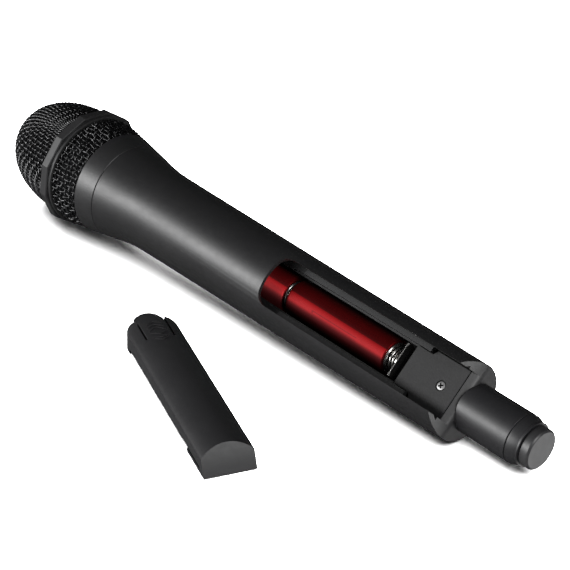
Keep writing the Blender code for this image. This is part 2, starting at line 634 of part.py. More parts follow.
def make_cover_latch():
    root = X_LATCH - GAP
    plan = [(root, -TONGUE), (root, TONGUE), (-88.6, TONGUE), (-89.7, TONGUE - 1.1),
            (-89.7, -TONGUE + 1.1), (-88.6, -TONGUE)]
    tongue = outline("cover_latch", plan, (11.0, 22.0), PLASTIC, parent=cover_frame)
    keep_within(tongue, barrel_slice("keep_latch_form", 0.0, 30.0, 0.0, (-96.0, -70.0)))
    cut(tongue, barrel_slice("cut_latch_hollow", 1.3, TONGUE - 0.9, 0.0, (-95.0, -72.0)))
    # the catch plate steps down from the tongue so that it slides under the opening's edge
    profile = [(-95.5, 13.3), (-95.5, 13.95), (-90.3, 13.95), (-89.6, 14.5), (-89.6, 15.3),
               (-88.0, 15.3), (-88.0, 13.3)]
    catch = turned("add_latch_catch", profile, steps=64, parent=cover_frame)
    # plan (x, y) of the catch's +y half, up to its tip
    half_plan = [(-86.0, 4.6), (-88.4, 4.6), (-93.6, 5.0), (-94.6, 3.6), (-95.2, 1.9)]
    catch_plan = ([(-86.0, -4.6)] + half_plan + [(-95.4, 0.0)]
                  + [(x, -y) for x, y in half_plan[:0:-1]])
    keep_within(catch, outline("keep_latch_catch", catch_plan, (4.0, 22.0), parent=cover_frame))
    join(tongue, catch)


# ------------------------------------------------------------ build
for make in (make_barrel, make_battery_tray, make_deck_plate, make_deck_screw, make_cells,
             make_contacts, make_main_board, make_board_parts, make_switch_bezel,
             make_power_slider, make_status_lens, make_antenna_stub, make_tail_cap,
             make_antenna, make_collar_and_basket, make_grille_ring, make_grille_dome,
             make_windscreen_foam, make_capsule, make_capsule_leads, make_battery_cover,
             make_cover_latch):
    make()

bpy.context.view_layer.update()
for obj in pieces.objects:
    if obj.type == "MESH":
        obj.data.shade_smooth()
        obj.data.set_sharp_from_angle(angle=math.radians(SMOOTH_ANGLE))
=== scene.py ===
import bpy
import bmesh
import json
import math
import random
import numpy as np
from mathutils import Matrix, Vector

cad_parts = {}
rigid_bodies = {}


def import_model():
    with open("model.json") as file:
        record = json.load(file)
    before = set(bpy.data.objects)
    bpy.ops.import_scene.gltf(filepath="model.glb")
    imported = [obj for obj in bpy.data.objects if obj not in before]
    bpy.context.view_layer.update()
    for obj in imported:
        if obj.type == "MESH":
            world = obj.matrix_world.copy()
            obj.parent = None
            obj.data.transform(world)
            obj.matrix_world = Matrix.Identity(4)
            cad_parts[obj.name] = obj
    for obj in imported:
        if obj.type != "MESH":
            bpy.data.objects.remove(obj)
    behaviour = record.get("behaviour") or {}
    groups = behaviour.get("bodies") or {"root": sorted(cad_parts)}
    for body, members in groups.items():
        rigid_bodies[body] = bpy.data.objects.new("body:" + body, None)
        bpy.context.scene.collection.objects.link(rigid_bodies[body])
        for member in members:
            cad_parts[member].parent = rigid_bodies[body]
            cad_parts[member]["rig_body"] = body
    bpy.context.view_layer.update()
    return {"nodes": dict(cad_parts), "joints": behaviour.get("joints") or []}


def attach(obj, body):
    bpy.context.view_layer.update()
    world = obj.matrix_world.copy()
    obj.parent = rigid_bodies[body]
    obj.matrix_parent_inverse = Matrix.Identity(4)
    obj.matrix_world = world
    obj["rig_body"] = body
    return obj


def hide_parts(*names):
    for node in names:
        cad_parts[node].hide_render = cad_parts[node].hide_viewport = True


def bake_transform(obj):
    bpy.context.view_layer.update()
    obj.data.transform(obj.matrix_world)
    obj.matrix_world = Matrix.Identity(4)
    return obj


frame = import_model()
NODES = frame["nodes"]
BODY_OF = {name: node["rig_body"] for name, node in NODES.items()}
MM = 0.001

# ---------------------------------------------------------------- shared dimensions (mm)
SCREW_X, SCREW_Z = -9.8, 5.2        # deck screw in the microphone frame
LATCH_X, LATCH_Z = -76.45, 13.2     # latch joint in the cover frame
TAIL_RADIUS, TAPER = 15.0, 0.0095   # barrel radius at x = 0, and its growth per mm towards -x
RING_FRONT_X = -207.0               # face of the grille ring on the dome side
DOME_RADIUS, DOME_LENGTH = 22.1, 35.2


def shell_radius(x):
    """Outer radius of the tapered barrel and cover between the tail and the grille flare."""
    return TAIL_RADIUS - TAPER * x


# ---------------------------------------------------------------- frames from the joints
def frame_matrix(x_axis, y_axis, z_axis, origin):
    rows = zip(x_axis, y_axis, z_axis, origin)
    return Matrix((*rows, (0, 0, 0, 1)))


JOINTS = {joint["name"]: joint for joint in frame["joints"]}

mic_x = Vector(JOINTS["power_switch"]["axis"]).normalized()
mic_z = Vector(JOINTS["front_cell_out"]["axis"]).normalized()
mic_y = mic_z.cross(mic_x).normalized()
MIC_ORIGIN = Vector(JOINTS["deck_screw_turn"]["pos_m"]) - mic_x * SCREW_X * MM - mic_z * SCREW_Z * MM
MIC = frame_matrix(mic_x, mic_y, mic_z, MIC_ORIGIN)
MIC_INVERSE = MIC.inverted()

cover_y = -Vector(JOINTS["latch_press"]["axis"]).normalized()
cover_z = Vector((0, 0, 1))
cover_x = cover_y.cross(cover_z).normalized()
cover_origin = (Vector(JOINTS["latch_press"]["pos_m"])
                - cover_x * LATCH_X * MM - cover_z * LATCH_Z * MM)
COVER = frame_matrix(cover_x, cover_y, cover_z, cover_origin)


# ---------------------------------------------------------------- materials
class Look:
    """A material and short ways to add nodes to its tree."""

    def __init__(self, name):
        self.material = bpy.data.materials.new(name)
        self.material.use_nodes = True
        self.tree = self.material.node_tree
        self.principled = self.tree.nodes["Principled BSDF"]
        self.place = self.node("TexCoord").outputs["Object"]

    def node(self, kind, **settings):
        node = self.tree.nodes.new("ShaderNode" + kind)
        for key, value in settings.items():
            setattr(node, key, value)
        return node

    def feed(self, socket, value):
        """Give an input a number, an RGB colour or a link."""
        if isinstance(value, tuple):
            socket.default_value = (*value, 1)
        elif isinstance(value, (int, float)):
            socket.default_value = value
        else:
            self.tree.links.new(value, socket)

    def set(self, key, value):
        self.feed(self.principled.inputs[key], value)

    def noise(self, scale, detail=2.0, rough=0.5, vector=None):
        node = self.node("TexNoise")
        self.feed(node.inputs["Scale"], scale)
        self.feed(node.inputs["Detail"], detail)
        self.feed(node.inputs["Roughness"], rough)
        self.feed(node.inputs["Vector"], vector or self.place)
        return node.outputs["Fac"]

    def voronoi(self, scale, randomness=1.0):
        node = self.node("TexVoronoi", feature="F1")
        self.feed(node.inputs["Scale"], scale)
        self.feed(node.inputs["Randomness"], randomness)
        self.feed(node.inputs["Vector"], self.place)
        return node.outputs["Distance"]

    def ramp(self, factor, stops):
        """Colour ramp through (position, RGB) stops."""
        node = self.node("ValToRGB")
        elements = node.color_ramp.elements
        while len(elements) > 1:
            elements.remove(elements[0])
        elements[0].position = stops[0][0]
        elements[0].color = (*stops[0][1], 1)
        for position, color in stops[1:]:
            elements.new(position).color = (*color, 1)
        self.feed(node.inputs["Fac"], factor)
        return node.outputs["Color"]

    def math(self, operation, first, second=None, clamp=False):
        node = self.node("Math", operation=operation, use_clamp=clamp)
        self.feed(node.inputs[0], first)
        if second is not None:
            self.feed(node.inputs[1], second)
        return node.outputs[0]

    def times(self, first, second):
        return self.math("MULTIPLY", first, second)

    def either(self, first, second):
        return self.math("MAXIMUM", first, second)

    def band(self, value, low, high):
        """1 between low and high, 0 elsewhere."""
        return self.times(self.math("GREATER_THAN", value, low), self.math("LESS_THAN", value, high))

    def scaled(self, value, low, high, from_low=0.0, from_high=1.0):
        node = self.node("MapRange")
        self.feed(node.inputs["From Min"], from_low)
        self.feed(node.inputs["From Max"], from_high)
        self.feed(node.inputs["To Min"], low)
        self.feed(node.inputs["To Max"], high)
        self.feed(node.inputs["Value"], value)
        return node.outputs["Result"]

    def mix(self, factor, first, second):
        node = self.node("Mix", data_type="RGBA")
        # inputs 6 and 7 and output 2 are the colour sockets
        self.feed(node.inputs[6], first)
        self.feed(node.inputs[7], second)
        self.feed(node.inputs[0], factor)
        return node.outputs[2]

    def bump(self, height, strength, distance):
        node = self.node("Bump")
        self.feed(node.inputs["Strength"], strength)
        self.feed(node.inputs["Distance"], distance)
        self.feed(node.inputs["Height"], height)
        self.set("Normal", node.outputs["Normal"])


def satin(name, base, rough, grain, depth, strength, spread, vary, specular):
    """Moulded or painted surface: fine grain, and slow changes of tone and gloss."""
    look = Look(name)
    fine = look.noise(scale=grain, detail=3.0, rough=0.6)
    slow = look.noise(scale=45.0, detail=3.0, rough=0.55)
    medium = look.noise(scale=420.0)
    darker = tuple(c * (1 - vary) for c in base)
    lighter = tuple(c * (1 + vary) for c in base)
    tone = look.mix(look.scaled(slow, low=0.0, high=1.0), darker, lighter)
    speck = look.times(look.math("SUBTRACT", fine, 0.5), 0.5)
    speck_color = tuple(min(1, c * 1.55 + 0.002) for c in base)
    look.set("Base Color", look.mix(look.math("ADD", speck, 0.25, clamp=True), tone, speck_color))
    gloss = look.scaled(medium, low=rough - spread / 2, high=rough + spread / 2)
    drift = look.times(look.math("SUBTRACT", slow, 0.5), spread)
    look.set("Roughness", look.math("ADD", gloss, drift, clamp=True))
    look.set("Specular IOR Level", specular)
    look.bump(fine, strength=strength, distance=depth)
    return look.material


# key: name after "looks_", base colour, roughness, grain scale, grain depth (m), bump strength,
# spread of roughness, variation of tone, specular level
SATIN = {
    "barrel": ("barrel_paint", (0.010, 0.010, 0.0105), 0.42, 2100, 5e-5, 0.45, 0.10, 0.10, 0.5),
    "collar": ("collar_paint", (0.012, 0.012, 0.0125), 0.40, 2100, 5e-5, 0.45, 0.10, 0.10, 0.5),
    "ring": ("ring_plastic", (0.014, 0.014, 0.0145), 0.50, 2800, 3e-5, 0.30, 0.10, 0.12, 0.34),
    "deck": ("deck_plastic", (0.013, 0.013, 0.0135), 0.62, 1900, 1e-4, 0.70, 0.14, 0.18, 0.33),
    "tray": ("tray_plastic", (0.008, 0.008, 0.0085), 0.50, 2300, 5e-5, 0.35, 0.10, 0.15, 0.28),
    "cover": ("cover_plastic", (0.014, 0.014, 0.015), 0.46, 2600, 5e-5, 0.35, 0.12, 0.12, 0.5),
    "stub": ("stub_plastic", (0.011, 0.011, 0.012), 0.45, 2800, 4e-5, 0.28, 0.10, 0.12, 0.5),
    "cap": ("cap_plastic", (0.020, 0.020, 0.021), 0.42, 2800, 4e-5, 0.32, 0.10, 0.12, 0.5),
    "rubber": ("rubber", (0.016, 0.016, 0.016), 0.75, 1800, 6e-5, 0.4, 0.1, 0.2, 0.5),
    "black": ("black_insulation", (0.012, 0.012, 0.012), 0.40, 1500, 3e-5, 0.2, 0.1, 0.2, 0.5),
    "red_wire": ("red_insulation", (0.42, 0.015, 0.015), 0.38, 1500, 3e-5, 0.2, 0.1, 0.1, 0.5),
    "chip": ("chip_epoxy", (0.014, 0.014, 0.015), 0.55, 3000, 3e-5, 0.4, 0.1, 0.15, 0.5),
    "slider": ("slider_plastic", (0.10, 0.10, 0.105), 0.42, 2800, 4e-5, 0.3, 0.1, 0.1, 0.5),
    # near black: painted shade for the deck screw's recess
    "recess": ("screw_recess", (0.004, 0.004, 0.004), 0.6, 1500, 2e-5, 0.2, 0.1, 0.1, 0.1),
}


def wire_material():
    """Black enamelled wire with painted glints: scattered bright spots in its colour."""
    look = Look("looks_grille_wire")
    fine = look.noise(scale=5200, rough=0.6)
    patch = look.noise(scale=260, detail=3.0, rough=0.6)
    painted_glint = look.noise(scale=1500, rough=0.6)
    # the brightest spots of this ramp are painted glints
    look.set("Base Color", look.ramp(painted_glint, [
        (0.34, (0.004, 0.004, 0.0045)), (0.60, (0.016, 0.016, 0.017)), (0.76, (0.22, 0.22, 0.225))]))
    look.set("Roughness", look.scaled(patch, low=0.14, high=0.25))
    look.set("Metallic", 0.45)
    look.bump(fine, strength=0.3, distance=0.00003)
    return look.material


def foam_material():
    """Open-celled black foam."""
    look = Look("looks_foam")
    cells = look.voronoi(scale=1700)
    look.set("Base Color", look.ramp(cells, [
        (0.0, (0.002, 0.002, 0.002)), (0.6, (0.010, 0.010, 0.011)), (1.0, (0.018, 0.018, 0.019))]))
    look.set("Roughness", look.scaled(look.noise(scale=900), low=0.9, high=1.0))
    look.set("Specular IOR Level", 0.1)
    look.bump(cells, strength=0.9, distance=0.0004)
    return look.material


def plated(name, base, rough, metallic=1.0):
    """Bright plated metal with drawn lines and faint stains."""
    look = Look(name)
    mapping = look.node("Mapping")
    mapping.inputs["Scale"].default_value = (1.0, 1.0, 14.0)
    look.feed(mapping.inputs["Vector"], look.place)
    streak = look.noise(scale=1400, detail=3.0, rough=0.6, vector=mapping.outputs["Vector"])
    stain = look.noise(scale=160, detail=4.0, rough=0.6)
    look.set("Base Color", look.mix(stain, tuple(c * 0.72 for c in base), base))
    look.set("Metallic", metallic)
    gloss = look.scaled(streak, low=rough - 0.05, high=rough + 0.08)
    look.set("Roughness", look.math("ADD", gloss, look.times(stain, 0.10)))
    look.bump(streak, strength=0.15, distance=0.00002)
    return look.material


def board_material():
    """Green solder mask with a grid of cells and small round pads."""
    look = Look("looks_circuit_board")
    brick = look.node("TexBrick")
    for key, value in {
        "Scale": 260,
        "Mortar Size": 0.05,
        "Color1": (0.006, 0.055, 0.022),
        "Color2": (0.010, 0.075, 0.030),
        "Mortar": (0.020, 0.120, 0.050),
        "Vector": look.place,
    }.items():
        look.feed(brick.inputs[key], value)
    pad = look.math("LESS_THAN", look.voronoi(scale=420), 0.17)
    look.set("Base Color", look.mix(pad, brick.outputs["Color"], (0.75, 0.60, 0.30)))
    look.set("Metallic", pad)
    look.set("Roughness", look.scaled(look.noise(scale=900), low=0.25, high=0.42))
    look.bump(brick.outputs["Fac"], strength=0.35, distance=0.00004)
    return look.material


def lens_material():
    """Clear green plastic of the status light."""
    look = Look("looks_status_lens")
    look.set("Base Color", look.mix(look.noise(scale=1800), (0.03, 0.33, 0.09), (0.06, 0.50, 0.15)))
    look.set("Roughness", look.scaled(look.noise(scale=2500), low=0.08, high=0.2))
    look.set("Transmission Weight", 0.35)
    look.set("IOR", 1.49)
    return look.material


def screen_material():
    """Fine etched screen over the capsule."""
    look = Look("looks_capsule_screen")
    cells = look.voronoi(scale=1600, randomness=0.15)
    hole = look.math("LESS_THAN", cells, 0.30)
    look.set("Base Color", look.mix(hole, (0.52, 0.52, 0.53), (0.01, 0.01, 0.01)))
    look.set("Metallic", 1.0)
    look.set("Roughness", look.scaled(look.noise(scale=600), low=0.25, high=0.45))
    look.bump(cells, strength=0.5, distance=0.0001)
    return look.material


# red level of the sleeve round the cell, part print and part painted light: (degrees, level)
JACKET_PAINTED_LIGHT_TONES = [
    (-90, 0.08), (-60, 0.07), (-40, 0.15), (-22, 0.13), (-10, 0.075), (-5.6, 0.07),
    (-4.0, 0.24), (2, 0.20), (8, 0.125), (14, 0.09), (20, 0.095), (24, 0.07),
    (28, 0.042), (34, 0.026), (50, 0.016), (90, 0.016),
]


def jacket_material():
    """Printed metallic sleeve, with painted highlight and painted shade in its red round the cell.
    UV x is mm from the flat end, UV y is degrees round the cell.
    """
    look = Look("looks_cell_jacket")
    times, either, band = look.times, look.either, look.band
    split = look.node("SeparateXYZ")
    look.feed(split.inputs[0], look.node("UVMap").outputs["UV"])
    along, angle = split.outputs[0], split.outputs[1]

    def dashes(rate, fill):
        """Marks along the cell: rate per mm, each filling this share of its step."""
        return look.math("LESS_THAN", look.math("FRACT", times(along, rate)), fill)

    flake = look.noise(scale=5200, rough=0.6)
    cloud = look.noise(scale=120, detail=3.0, rough=0.6)
    turn = look.scaled(angle, low=0.0, high=1.0, from_low=-90.0, from_high=90.0)
    # a wide lighter stripe along the sleeve, with a sharp and a soft edge; its levels are partly
    # print and partly painted light, dimmer where the lamp's highlight already falls and darker
    # towards +90 degrees as painted shade
    base = look.ramp(turn, [
        ((degrees + 90) / 180, (red, red * 0.016 + 0.0008, red * 0.020 + 0.0012))
        for degrees, red in JACKET_PAINTED_LIGHT_TONES])
    base = look.mix(times(cloud, 0.10), base, (0.20, 0.003, 0.005))
    base = look.mix(times(flake, 0.06), base, (0.30, 0.010, 0.013))

    # printed line with a step at its end, a fainter panel, two tick rows and a broken strip;
    # bands are mm along the cell and degrees round it
    line = times(band(along, 14.0, 36.6), band(angle, 12.6, 15.2))
    step = times(band(along, 35.7, 36.6), band(angle, 12.6, 20.5))
    panel = times(times(band(along, 14.0, 36.0), band(angle, 20.5, 60.0)), 0.45)
    ticks = times(dashes(rate=0.92, fill=0.55),
                  times(band(angle, -24.5, -18.0), band(along, 6.0, 44.0)))
    thin_ticks = times(dashes(rate=0.61, fill=0.62),
                       times(band(angle, -14.0, -10.5), band(along, 10.0, 40.0)))
    strip = times(band(angle, -44.0, -38.0), band(along, 12.0, 34.0))
    strip = times(strip, look.math("GREATER_THAN", look.noise(scale=900, detail=1.0), 0.5))
    faint = times(either(either(ticks, thin_ticks), strip), 0.45)
    marks = either(either(either(line, step), panel), faint)

    look.set("Base Color", look.mix(times(marks, 0.62), base, (0.045, 0.001, 0.002)))
    look.set("Metallic", 0.90)
    look.set("Roughness", look.scaled(cloud, low=0.45, high=0.54))
    look.bump(look.math("SUBTRACT", flake, times(marks, 0.6)), strength=0.10, distance=0.00003)
    return look.material


MATERIALS = {key: satin("looks_" + row[0], *row[1:]) for key, row in SATIN.items()}
MATERIALS.update({
    "wire": wire_material(),
    "foam": foam_material(),
    "nickel": plated("looks_nickel", base=(0.62, 0.61, 0.59), rough=0.20),
    "screw": plated("looks_screw_steel", base=(0.34, 0.34, 0.34), rough=0.34, metallic=0.6),
    "brass": plated("looks_capsule_brass", base=(0.66, 0.46, 0.18), rough=0.25),
    "copper": plated("looks_antenna_copper", base=(0.72, 0.30, 0.14), rough=0.22),
    "board": board_material(),
    "lens": lens_material(),
    "screen": screen_material(),
    "jacket": jacket_material(),
})


# ---------------------------------------------------------------- building helpers
def shaded_object(name, mesh, materials, smooth):
    """Object in the scene, smooth-shaded up to the given angle in degrees."""
    obj = bpy.data.objects.new(name, mesh)
    bpy.context.scene.collection.objects.link(obj)
    for key in materials:
        mesh.materials.append(MATERIALS[key])
    mesh.shade_smooth()
    mesh.set_sharp_from_angle(angle=math.radians(smooth))
    return obj


def add(name, mesh, materials, node, smooth, replaces=True):
    """Object that rides with a CAD node's body and, unless told not to, stands for the node."""
    obj = shaded_object(name, mesh, materials, smooth)
    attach(obj, BODY_OF[node])
    if replaces:
        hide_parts(node)
    return obj


def mesh_from_lists(name, verts, faces, matrix):
    mesh = bpy.data.meshes.new(name)
    mesh.from_pydata(verts, [], faces)
    mesh.transform(matrix)
    bm = bmesh.new()
    bm.from_mesh(mesh)
    bmesh.ops.recalc_face_normals(bm, faces=bm.faces)
    bm.to_mesh(mesh)
    bm.free()
    return mesh


def clean_copy(node):
    """The node's own surface as a welded mesh with no stored normals, flat areas rejoined."""
    bm = bmesh.new()
    bm.from_mesh(NODES[node].data)
    bmesh.ops.remove_doubles(bm, verts=bm.verts, dist=2e-6)
    bmesh.ops.dissolve_limit(bm, angle_limit=math.radians(0.25), verts=bm.verts,
                             edges=bm.edges, delimit={"NORMAL"})
    verts = [v.co.copy() for v in bm.verts]
    bm.verts.ensure_lookup_table()
    faces = [[v.index for v in face.verts] for face in bm.faces]
    bm.free()
    mesh = bpy.data.meshes.new(node + "_looks")
    mesh.from_pydata(verts, [], faces)
    mesh.validate()
    return mesh


def dressed(node, material, bevel, smooth, bevel_angle):
    """A smooth-shaded copy of a CAD node with softened edges."""
    obj = add(node + "_surface", clean_copy(node), [material], node, smooth)
    if bevel:
        modifier = obj.modifiers.new("edges", "BEVEL")
        modifier.width = bevel * MM
        modifier.segments = 2
        modifier.limit_method = "ANGLE"
        modifier.angle_limit = math.radians(bevel_angle)
        modifier.harden_normals = True
        modifier.use_clamp_overlap = True


def lathe(name, profile, steps, materials, node):
    """Profile of (x, radius) in mm turned about the microphone's x axis."""
    bm = bmesh.new()
    rows = []
    for i in range(steps):
        a = 2 * math.pi * i / steps
        rows.append([bm.verts.new((x * MM, r * math.cos(a) * MM, r * math.sin(a) * MM))
                     for x, r in profile])
    for i in range(steps):
        row, following = rows[i], rows[(i + 1) % steps]
        for k in range(len(profile) - 1):
            bm.faces.new((row[k], row[k + 1], following[k + 1], following[k]))
    bmesh.ops.remove_doubles(bm, verts=bm.verts, dist=1e-7)
    bmesh.ops.recalc_face_normals(bm, faces=bm.faces)
    bm.transform(MIC)
    mesh = bpy.data.meshes.new(name)
    bm.to_mesh(mesh)
    bm.free()
    return add(name, mesh, materials, node, smooth=32.0)


def steady_frame(points, closed):
    """Two cross directions at each point, carried along the path without twist."""
    if closed:
        tangents = np.roll(points, -1, 0) - np.roll(points, 1, 0)
    else:
        tangents = np.gradient(points, axis=0)
    tangents /= np.linalg.norm(tangents, axis=1)[:, None] + 1e-12
    start = tangents[0]
    steep = abs(start @ (0, 0, 1)) >= 0.9
    guide = np.array((1.0, 0.1, 0.2)) if steep else np.array((0.37, 0.21, 0.9))
    normals = np.zeros_like(points)
    normals[0] = guide - (guide @ start) * start
    normals[0] /= np.linalg.norm(normals[0])
    for i in range(1, len(points)):
        carried = normals[i - 1] - (normals[i - 1] @ tangents[i]) * tangents[i]
        normals[i] = carried / (np.linalg.norm(carried) + 1e-12)
    return normals, np.cross(tangents, normals)


def tubes(name, paths, radius, material, node, sides, matrix=MIC, replaces=True):
    """Round wires swept along (points in mm, closed) paths, in one mesh; open ends are capped."""
    verts, faces = [], []
    angles = np.arange(sides) * 2 * math.pi / sides
    for path, closed in paths:
        points = np.array(path, float) * MM
        count = len(points)
        normals, binormals = steady_frame(points, closed)
        base = len(verts)
        for i in range(count):
            for a in angles:
                spoke = math.cos(a) * normals[i] + math.sin(a) * binormals[i]
                verts.append(points[i] + radius * MM * spoke)
        end = base + (count - 1) * sides
        for i in range(count - 1):
            for s in range(sides):
                a0 = base + i * sides + s
                a1 = base + i * sides + (s + 1) % sides
                faces.append((a0, a1, a1 + sides, a0 + sides))
        if closed:
            # pick the turn that best joins the last ring of points to the first
            first_ring = np.array(verts[base:base + sides])
            last_ring = np.array(verts[end:end + sides])
            shift = int(np.argmin([np.linalg.norm(np.roll(first_ring, -k, 0) - last_ring)
                                   for k in range(sides)]))
            for s in range(sides):
                faces.append((end + s, end + (s + 1) % sides,
                              base + (s + 1 + shift) % sides, base + (s + shift) % sides))
        else:
            faces.append(tuple(base + s for s in range(sides))[::-1])
            faces.append(tuple(end + s for s in range(sides)))
    mesh = mesh_from_lists(name, [tuple(v) for v in verts], faces, matrix)
    add(name, mesh, [material], node, smooth=60.0, replaces=replaces)


# ---------------------------------------------------------------- woven grille dome
PITCH = 1.95        # mm between crossings of the cloth
WIRE_RADIUS = 0.31
CRIMP = 0.30        # swing of a wire above and below the cloth's middle surface
WEAVE_INSET = WIRE_RADIUS + CRIMP + 0.02    # keeps the wires inside the outer shape
CLOTH_TURN = math.radians(24.0)             # turn of the cloth about the x axis
SAMPLES = 4         # points along a wire for each crossing


def dome_profile(steps=400):
    """x, radius and arc length from the tip, over the dome and down a short skirt."""
    xs, radii = [], []
    for i in range(steps, -1, -1):
        s = math.sin(math.pi / 2 * (i / steps))
        xs.append(RING_FRONT_X - 0.3 - (DOME_LENGTH - WEAVE_INSET) * s)
        radii.append((DOME_RADIUS - WEAVE_INSET) * math.sqrt(max(1 - s ** 2.5, 0.0)))
    xs.append(RING_FRONT_X + 0.8)
    radii.append(DOME_RADIUS - WEAVE_INSET)
    xs, radii = np.array(xs), np.array(radii)
    steps_along = np.hypot(np.diff(xs), np.diff(radii))
    return xs, radii, np.concatenate(([0], np.cumsum(steps_along)))


DOME_X, DOME_R, DOME_ARC = dome_profile()
ARC_END = DOME_ARC[-1]
CLOTH_SIZE = int(ARC_END / PITCH) + 3   # crossings from the tip outwards, with some to spare


def on_dome(arc, angle):
    r = np.interp(arc, DOME_ARC, DOME_R)
    return np.array((np.interp(arc, DOME_ARC, DOME_X), r * math.cos(angle), r * math.sin(angle)))


def dome_normal(arc, angle):
    """Outward normal, from a short chord of the profile."""
    arc = min(max(arc, 0.02), ARC_END - 0.06)
    x0, x1 = np.interp(arc - 0.01, DOME_ARC, DOME_X), np.interp(arc + 0.05, DOME_ARC, DOME_X)
    r0, r1 = np.interp(arc - 0.01, DOME_ARC, DOME_R), np.interp(arc + 0.05, DOME_ARC, DOME_R)
    chord = np.array((x1 - x0, r1 - r0))
    chord /= np.linalg.norm(chord) + 1e-12
    normal_x, normal_r = -chord[1], chord[0]
    return np.array((normal_x, normal_r * math.cos(angle), normal_r * math.sin(angle)))


def next_crossing(first, second, arc, angle):
    """Newton steps to the (arc, angle) one pitch from two neighbours, or None."""
    nudge = 1e-4

    def distances(arc, angle):
        q = on_dome(arc, angle)
        return np.array((np.linalg.norm(q - first), np.linalg.norm(q - second)))

    for _ in range(40):
        error = distances(arc, angle) - PITCH
        if abs(error).max() < 1e-5:
            return arc, angle
        by_arc = (distances(arc + nudge, angle) - PITCH - error) / nudge
        by_angle = (distances(arc, angle + nudge) - PITCH - error) / nudge
        slopes = np.array((by_arc, by_angle)).T
        if abs(np.linalg.det(slopes)) < 1e-9:
            return None
        move = np.linalg.solve(slopes, -error)
        if abs(move[0]) > PITCH:
            move = np.clip(move, -0.8 * PITCH, 0.8 * PITCH)
        arc, angle = arc + move[0], angle + move[1]
        if arc > ARC_END + 3 * PITCH or arc < 0:
            return None
    return None


def cloth_quadrant():
    """Arc and angle of the crossings in one quarter of a square cloth laid from the tip."""
    arcs = np.full((CLOTH_SIZE, CLOTH_SIZE), np.nan)
    angles = np.full((CLOTH_SIZE, CLOTH_SIZE), np.nan)
    for i in range(CLOTH_SIZE):
        arcs[i, 0], angles[i, 0] = i * PITCH, 0.0
        arcs[0, i], angles[0, i] = i * PITCH, math.pi / 2
    for i in range(1, CLOTH_SIZE):
        for j in range(1, CLOTH_SIZE):
            arc_a, arc_b = arcs[i - 1, j], arcs[i, j - 1]
            if np.isnan(arc_a) or np.isnan(arc_b):
                continue
            angle_a, angle_b = angles[i - 1, j], angles[i, j - 1]
            # start beyond the far side of the cell
            found = next_crossing(on_dome(arc_a, angle_a), on_dome(arc_b, angle_b),
                                  0.5 * (arc_a + arc_b) + 0.75 * PITCH, 0.5 * (angle_a + angle_b))
            if found is None:
                continue
            if min(arc_a, arc_b) - 0.2 * PITCH < found[0] <= ARC_END + 2 * PITCH:
                arcs[i, j], angles[i, j] = found
    return arcs, angles


CLOTH_ARCS, CLOTH_ANGLES = cloth_quadrant()


def crossing(i, j):
    """(arc, angle) of a crossing of the whole cloth, mirrored from the quadrant."""
    arc, angle = CLOTH_ARCS[abs(i), abs(j)], CLOTH_ANGLES[abs(i), abs(j)]
    if i < 0:
        angle = math.pi - angle
    if j < 0:
        angle = -angle
    return arc, angle


def crimped_wire(run):
    """Smooth curve through (point, normal, side) crossings, swinging from side to side."""
    curve = []
    for u in range(len(run) - 1):
        (p1, n1, side), (p2, n2, _) = run[u], run[u + 1]
        p0 = run[u - 1][0] if u > 0 else p1 * 2 - p2
        p3 = run[u + 2][0] if u + 2 < len(run) else p2 * 2 - p1
        for w in range(SAMPLES):
            t = w / SAMPLES
            point = 0.5 * ((2 * p1) + (-p0 + p2) * t
                           + (2 * p0 - 5 * p1 + 4 * p2 - p3) * t * t
                           + (-p0 + 3 * p1 - 3 * p2 + p3) * t ** 3)
            normal = n1 * (1 - t) + n2 * t
            normal /= np.linalg.norm(normal)
            curve.append(point + normal * CRIMP * side * math.cos(math.pi * t))
    point, normal, side = run[-1]
    curve.append(point + normal * CRIMP * side)
    return curve


def dome_paths():
    """Both families of wires, each broken where it runs past the ring."""
    paths = []
    for family in (0, 1):
        for k in range(-CLOTH_SIZE + 1, CLOTH_SIZE):
            runs = [[]]
            for m in range(-CLOTH_SIZE + 1, CLOTH_SIZE):
                arc, angle = crossing(m, k) if family == 0 else crossing(k, m)
                # a crossing that was never placed has a NaN arc and also ends the run
                if arc <= ARC_END - 0.05:
                    angle += CLOTH_TURN
                    side = 1 if (m + k + family) % 2 == 0 else -1
                    runs[-1].append((on_dome(arc, angle), dome_normal(arc, angle), side))
                else:
                    runs.append([])
            paths += [(crimped_wire(run), False) for run in runs if len(run) >= 2]
    return paths


tubes("grille_dome_weave", dome_paths(), WIRE_RADIUS, "wire", "grille_dome", sides=6)

# ---------------------------------------------------------------- woven grille basket
BASKET_START_X, BASKET_END_X = -189.3, -202.4   # collar side, ring side
BASKET_RADIUS, BASKET_SWELL = 20.8, 1.7         # radius at the collar, and its growth
SWELL_LENGTH = 12.0
RIBS, HOOPS = 70, 6
FIRST_HOOP_X = BASKET_START_X - 0.9
HOOP_STEP = (BASKET_START_X - BASKET_END_X) / (HOOPS + 0.4)
HOOP_WANDER = 0.16      # most that a hoop strays along x
LEAST_GAP = 0.15        # rib points closer than this are dropped


def basket_radius(x):
    t = min(max((BASKET_START_X - x) / SWELL_LENGTH, 0.0), 1.0)
    return BASKET_RADIUS + BASKET_SWELL * math.sin(math.pi / 2 * t) - WEAVE_INSET


def basket_hoop(h, wander):
    points = []
    for i in range(RIBS * SAMPLES):
        a = 2 * math.pi * i / (RIBS * SAMPLES)
        swing = math.cos(math.pi * i / SAMPLES) * (1 if h % 2 == 0 else -1)
        x = FIRST_HOOP_X - HOOP_STEP * h
        r = basket_radius(x) + CRIMP * 1.05 * swing
        k = i // SAMPLES
        t = (i % SAMPLES) / SAMPLES
        stray = wander[k] * (1 - t) + wander[(k + 1) % RIBS] * t
        points.append((x + stray, r * math.cos(a), r * math.sin(a)))
    return points, True


